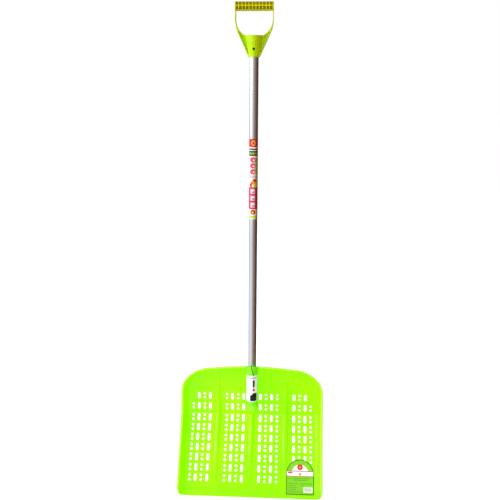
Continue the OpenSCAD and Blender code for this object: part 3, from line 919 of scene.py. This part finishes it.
def tube_film():
    """Film round the tube: coloured bands with plain discs and bars, the same in front and behind."""
    f = Film("tube_print", (0.86, 0.84, 0.78))
    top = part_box("pipe_label")[1].z / MM
    film_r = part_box("pipe_label")[1].x / MM
    turn = f.math("ARCTAN2", f.x, f.math("MULTIPLY", f.y, -1.0))
    wrap = f.add("ShaderNodeMath", operation="WRAP")
    f.link(f.math("MULTIPLY", turn, film_r), wrap.inputs[0])
    wrap.inputs[1].default_value = film_r * math.pi / 2
    wrap.inputs[2].default_value = -film_r * math.pi / 2
    f.across = wrap.outputs[0]
    f.down = f.math("SUBTRACT", top, f.z)
    f.band(0, 23, RED)
    f.disc(0, 11.5, 6.2, 7.6, GOLD)
    f.disc(0, 11.5, 3.4, 4.6, RED)
    f.band(27, 31, DARK)
    f.band(34, 48, DARK)
    f.stripes(-20, 20, 38, 44, 5.0, LEAF, 0.6)
    f.band(50, 101, (0.80, 0.82, 0.70))
    f.block(5.0, 20, 54, 101, LEAF)
    f.stripes(-20, 20, 54, 101, 6.3, (0.20, 0.42, 0.02), 0.3, 0.5)
    for y in (59, 76, 93):
        f.disc(-1.5, y, 8.5, 7.4, PINK)
        f.disc(1.5, y + 1, 3.2, 2.0, WHITE)
    f.band(104, 112, (0.55, 0.56, 0.55))
    f.block(2.0, 20, 118, 138, (0.62, 0.66, 0.02))
    f.disc(4, 119, 6.5, 5.5, RED)
    f.disc(-1, 125, 6.0, 6.0, ORANGE)
    f.disc(-6, 132, 6.0, 6.0, RED)
    f.disc(-2, 133, 2.6, 3.6, WHITE)
    f.band(138, 202, RED)
    for y in (150, 170, 190):
        f.block(-8.5, 5.5, y - 7.5, y + 7.5, (0.70, 0.52, 0.66))
        f.block(-6.0, 3.5, y - 4.5, y - 1.5, WHITE)
        f.block(-1.5, 4.0, y + 0.5, y + 4.5, (0.22, 0.14, 0.30))
    f.disc(0, 211, 8.0, 7.5, RED)
    f.disc(-1, 212, 3.6, 3.2, GOLD)
    f.band(222, 229, LEAF)
    # Painted shade: the print darkens round the right edge, which is turned away from the light and seen at a
    # glancing angle
    f.print = f.mix(f.math("MULTIPLY", f.spread(f.across, 3.0, 13.0), 0.75), f.print, (0.10, 0.035, 0.02))
    return f.done()


def socket_film():
    """Film on the socket: a row of dashes, a bar, a dot and a dark block."""
    f = Film("socket_print", (0.84, 0.87, 0.88))
    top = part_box("socket_label")[1].z / MM
    film_r = SOCKET_R + 0.2
    turn = f.math("ARCTAN2", f.x, f.math("MULTIPLY", f.y, -1.0))
    f.across = f.math("MULTIPLY", turn, film_r)
    f.down = f.math("SUBTRACT", top, f.z)
    f.stripes(-15, 15, 6, 9.5, 4.2, (0.10, 0.12, 0.16), 0.62)
    f.block(3, 9.5, 15, 39, DARK)
    f.disc(6.2, 48, 4.2, 4.8, RED)
    f.block(-5.5, 17, 59, 86, DARK)
    f.disc(-6, 58, 9, 9, (0.84, 0.87, 0.88))
    f.block(-17, -8, 66, 68, (0.45, 0.48, 0.5))
    f.block(-17, -9.5, 72, 74, (0.45, 0.48, 0.5))
    f.block(-17, -8, 78, 80, (0.45, 0.48, 0.5))
    return f.done()


def blade_film():
    """Arched film on the blade: a white lens, a red disc, a white band, rows of dashes and a striped box."""
    ground = (0.21, 0.62, 0.02)
    f = Film("blade_print", ground)
    low, high = (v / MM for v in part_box("blade_label"))
    half_w = (high.x - low.x) / 2
    tall = (high.z - low.z) / math.cos(FLOOR_ANGLE)
    up_sheet = f.math("ADD", f.math("MULTIPLY", f.y, math.sin(FLOOR_ANGLE)),
                      f.math("MULTIPLY", f.z, math.cos(FLOOR_ANGLE)))
    bottom = low.y * math.sin(FLOOR_ANGLE) + low.z * math.cos(FLOOR_ANGLE)
    f.across = f.math("SUBTRACT", f.x, (low.x + high.x) / 2)
    f.down = f.math("SUBTRACT", bottom + tall, up_sheet)
    arch = half_w
    f.set(Specular_IOR_Level=0.12)
    f.paint(1.0, (0.02, 0.08, 0.01))
    f.disc(0, arch, arch - 2.0, arch - 2.0, ground)
    f.block(-arch + 2.0, arch - 2.0, arch, tall - 2.2, ground)
    f.disc(0, 40, 26, 25, WHITE, keep_above=33)
    f.disc(0, 22, 8.6, 8.6, RED)
    f.disc(0, 22, 4.6, 4.6, (0.75, 0.16, 0.10))
    f.block(-arch + 2, arch - 2, 33, 50, (0.45, 0.03, 0.02))
    f.block(-arch + 2, arch - 2, 35, 48, WHITE)
    f.block(-arch + 5, -arch + 19, 36.5, 40.5, RED)
    f.disc(0, 43, 4.2, 3.4, RED)
    f.disc(0, 43, 1.8, 1.4, WHITE)
    dashes = (
        (55, -36, 34), (60, -20, 22), (70, -34, -8), (70, 2, 36), (76, -34, -14),
        (82, -34, -10), (76, 2, 12), (88, -34, -12), (94, -34, 8),
    )
    for y, left, right in dashes:
        f.stripes(left, right, y - 0.9, y + 0.9, 3.1, DARK_GREEN, 0.6)
    f.block(10, 38, 80, 95, WHITE)
    f.stripes(12, 36, 82, 92, 2.6, (0.16, 0.14, 0.15), 0.45)
    return f.done()


# ---- Build ----

blade_obj = blade()
finish_piece(blade_obj, lime_plastic(), "blade_plastic", "blade")
grip_obj = grip()
finish_piece(grip_obj, grip_plastic(), "grip_plastic", "d_grip", sharp_deg=60)


def dress(node_name, material):
    obj = nodes[node_name]
    for slot in obj.material_slots:
        slot.material = material


dress("pipe", tube_metal())
plug_material = plug_plastic()
dress("upper_plug", plug_material)
dress("lower_plug", plug_material)
steel = black_steel()
dress("grip_screw", steel)
dress("socket_screws", steel)
dress("pipe_label", tube_film())
dress("socket_label", socket_film())
dress("blade_label", blade_film())

# ---- Stage, light and camera ----

FLOOR_Z = cad_lo.z - 0.004
FLOOR_REACH = 3e4


def studio_glow(tree, place):
    """Brightness of the studio by the direction round the tube: white on the left, warm dark on the right."""
    turn = tree.nodes.new("ShaderNodeTexGradient")
    turn.gradient_type = "RADIAL"
    ramp = tree.nodes.new("ShaderNodeValToRGB")
    stops = ramp.color_ramp.elements
    stops[0].position, stops[0].color = 0.0, (0.80, 0.86, 1.0, 1)
    stops[1].position, stops[1].color = 1.0, (0.72, 0.78, 0.94, 1)
    for position, colour in (
        (0.08, (1.0, 1.02, 1.08)), (0.17, (0.92, 0.92, 0.98)), (0.25, (0.48, 0.41, 0.40)),
        (0.34, (0.34, 0.23, 0.19)), (0.42, (0.18, 0.11, 0.08)), (0.50, (0.09, 0.05, 0.035)),
        (0.68, (0.05, 0.025, 0.015)), (0.80, (0.45, 0.48, 0.56)),
    ):
        ramp.color_ramp.elements.new(position).color = (*colour, 1)
    tree.links.new(place, turn.inputs["Vector"])
    tree.links.new(turn.outputs["Fac"], ramp.inputs["Fac"])
    return ramp.outputs["Color"]


def make_floor():
    """The camera sees a white floor; reflections and bounced light see the studio instead."""
    corners = ((-1, -1), (1, -1), (1, 1), (-1, 1))
    points = [(x * FLOOR_REACH, y * FLOOR_REACH, FLOOR_Z / MM) for x, y in corners]
    floor = new_object("floor", points, [(0, 1, 2, 3)])
    m = Nodes("floor_white")
    m.set(Roughness=0.9, Emission_Strength=0.62)
    m.shader.inputs["Base Color"].default_value = (0.93, 0.93, 0.93, 1)
    m.shader.inputs["Emission Color"].default_value = (1, 1, 1, 1)
    glow = m.add("ShaderNodeEmission")
    m.link(studio_glow(m.tree, m.object_place()), glow.inputs["Color"])
    mix = m.add("ShaderNodeMixShader")
    m.link(m.add("ShaderNodeLightPath").outputs["Is Camera Ray"], mix.inputs[0])
    m.link(glow.outputs[0], mix.inputs[1])
    m.link(m.shader.outputs[0], mix.inputs[2])
    m.link(mix.outputs[0], m.tree.nodes["Material Output"].inputs["Surface"])
    floor.data.materials.append(m.material)


def make_world():
    """The camera sees plain white; reflections and bounced light see the studio instead."""
    world = bpy.data.worlds.new("studio")
    bpy.context.scene.world = world
    world.use_nodes = True
    tree = world.node_tree
    place = tree.nodes.new("ShaderNodeTexCoord")
    path = tree.nodes.new("ShaderNodeLightPath")
    mix = tree.nodes.new("ShaderNodeMix")
    mix.data_type = "RGBA"
    mix.inputs[7].default_value = (1, 1, 1, 1)
    tree.links.new(path.outputs["Is Camera Ray"], mix.inputs[0])
    tree.links.new(studio_glow(tree, place.outputs["Generated"]), mix.inputs[6])
    tree.links.new(mix.outputs[2], tree.nodes["Background"].inputs["Color"])


def soft_light(name, place, target, size, power, colour=(1, 1, 1), spread_deg=180, mirrored=True):
    data = bpy.data.lights.new(name, "AREA")
    data.spread = math.radians(spread_deg)
    data.shape = "DISK"
    data.size = size
    data.energy = power
    data.color = colour
    light = bpy.data.objects.new(name, data)
    light.location = place
    light.visible_glossy = mirrored
    light.rotation_euler = (Vector(target) - Vector(place)).to_track_quat("-Z", "Y").to_euler()
    bpy.context.scene.collection.objects.link(light)


def make_camera():
    data = bpy.data.cameras.new("camera")
    data.sensor_width = 36.0
    data.lens = CAMERA_LENS
    camera = bpy.data.objects.new("camera", data)
    bpy.context.scene.collection.objects.link(camera)
    bpy.context.scene.camera = camera
    level = math.cos(CAMERA_ELEVATION)
    forward = Vector((-math.sin(CAMERA_AZIMUTH) * level, math.cos(CAMERA_AZIMUTH) * level,
                      -math.sin(CAMERA_ELEVATION)))
    right = Vector((math.cos(CAMERA_AZIMUTH), math.sin(CAMERA_AZIMUTH), 0))
    up = right.cross(forward)
    tilted_right = math.cos(CAMERA_ROLL) * right + math.sin(CAMERA_ROLL) * up
    tilted_up = math.cos(CAMERA_ROLL) * up - math.sin(CAMERA_ROLL) * right
    rows = [(*axes, place) for *axes, place in zip(tilted_right, tilted_up, -forward, CAMERA_PLACE)]
    camera.matrix_world = Matrix((*rows, (0, 0, 0, 1)))


make_floor()
make_world()
soft_light("key", (-3.4, -1.1, 0.5), (0, 0, -0.5), 1.6, 95)
soft_light("blade_fill", (0.3, -2.6, -0.8), (0, 0, -1.25), 1.4, 4.2, spread_deg=50, mirrored=False)
soft_light("warm_side", (2.4, -1.4, 0.3), (0, 0, -0.08), 1.0, 0.9, (1.0, 0.36, 0.08), 30, mirrored=False)
soft_light("back", (-1.8, 2.8, 0.8), (0, 0, -0.8), 1.6, 40)

bpy.context.scene.view_settings.view_transform = "Standard"

make_camera()
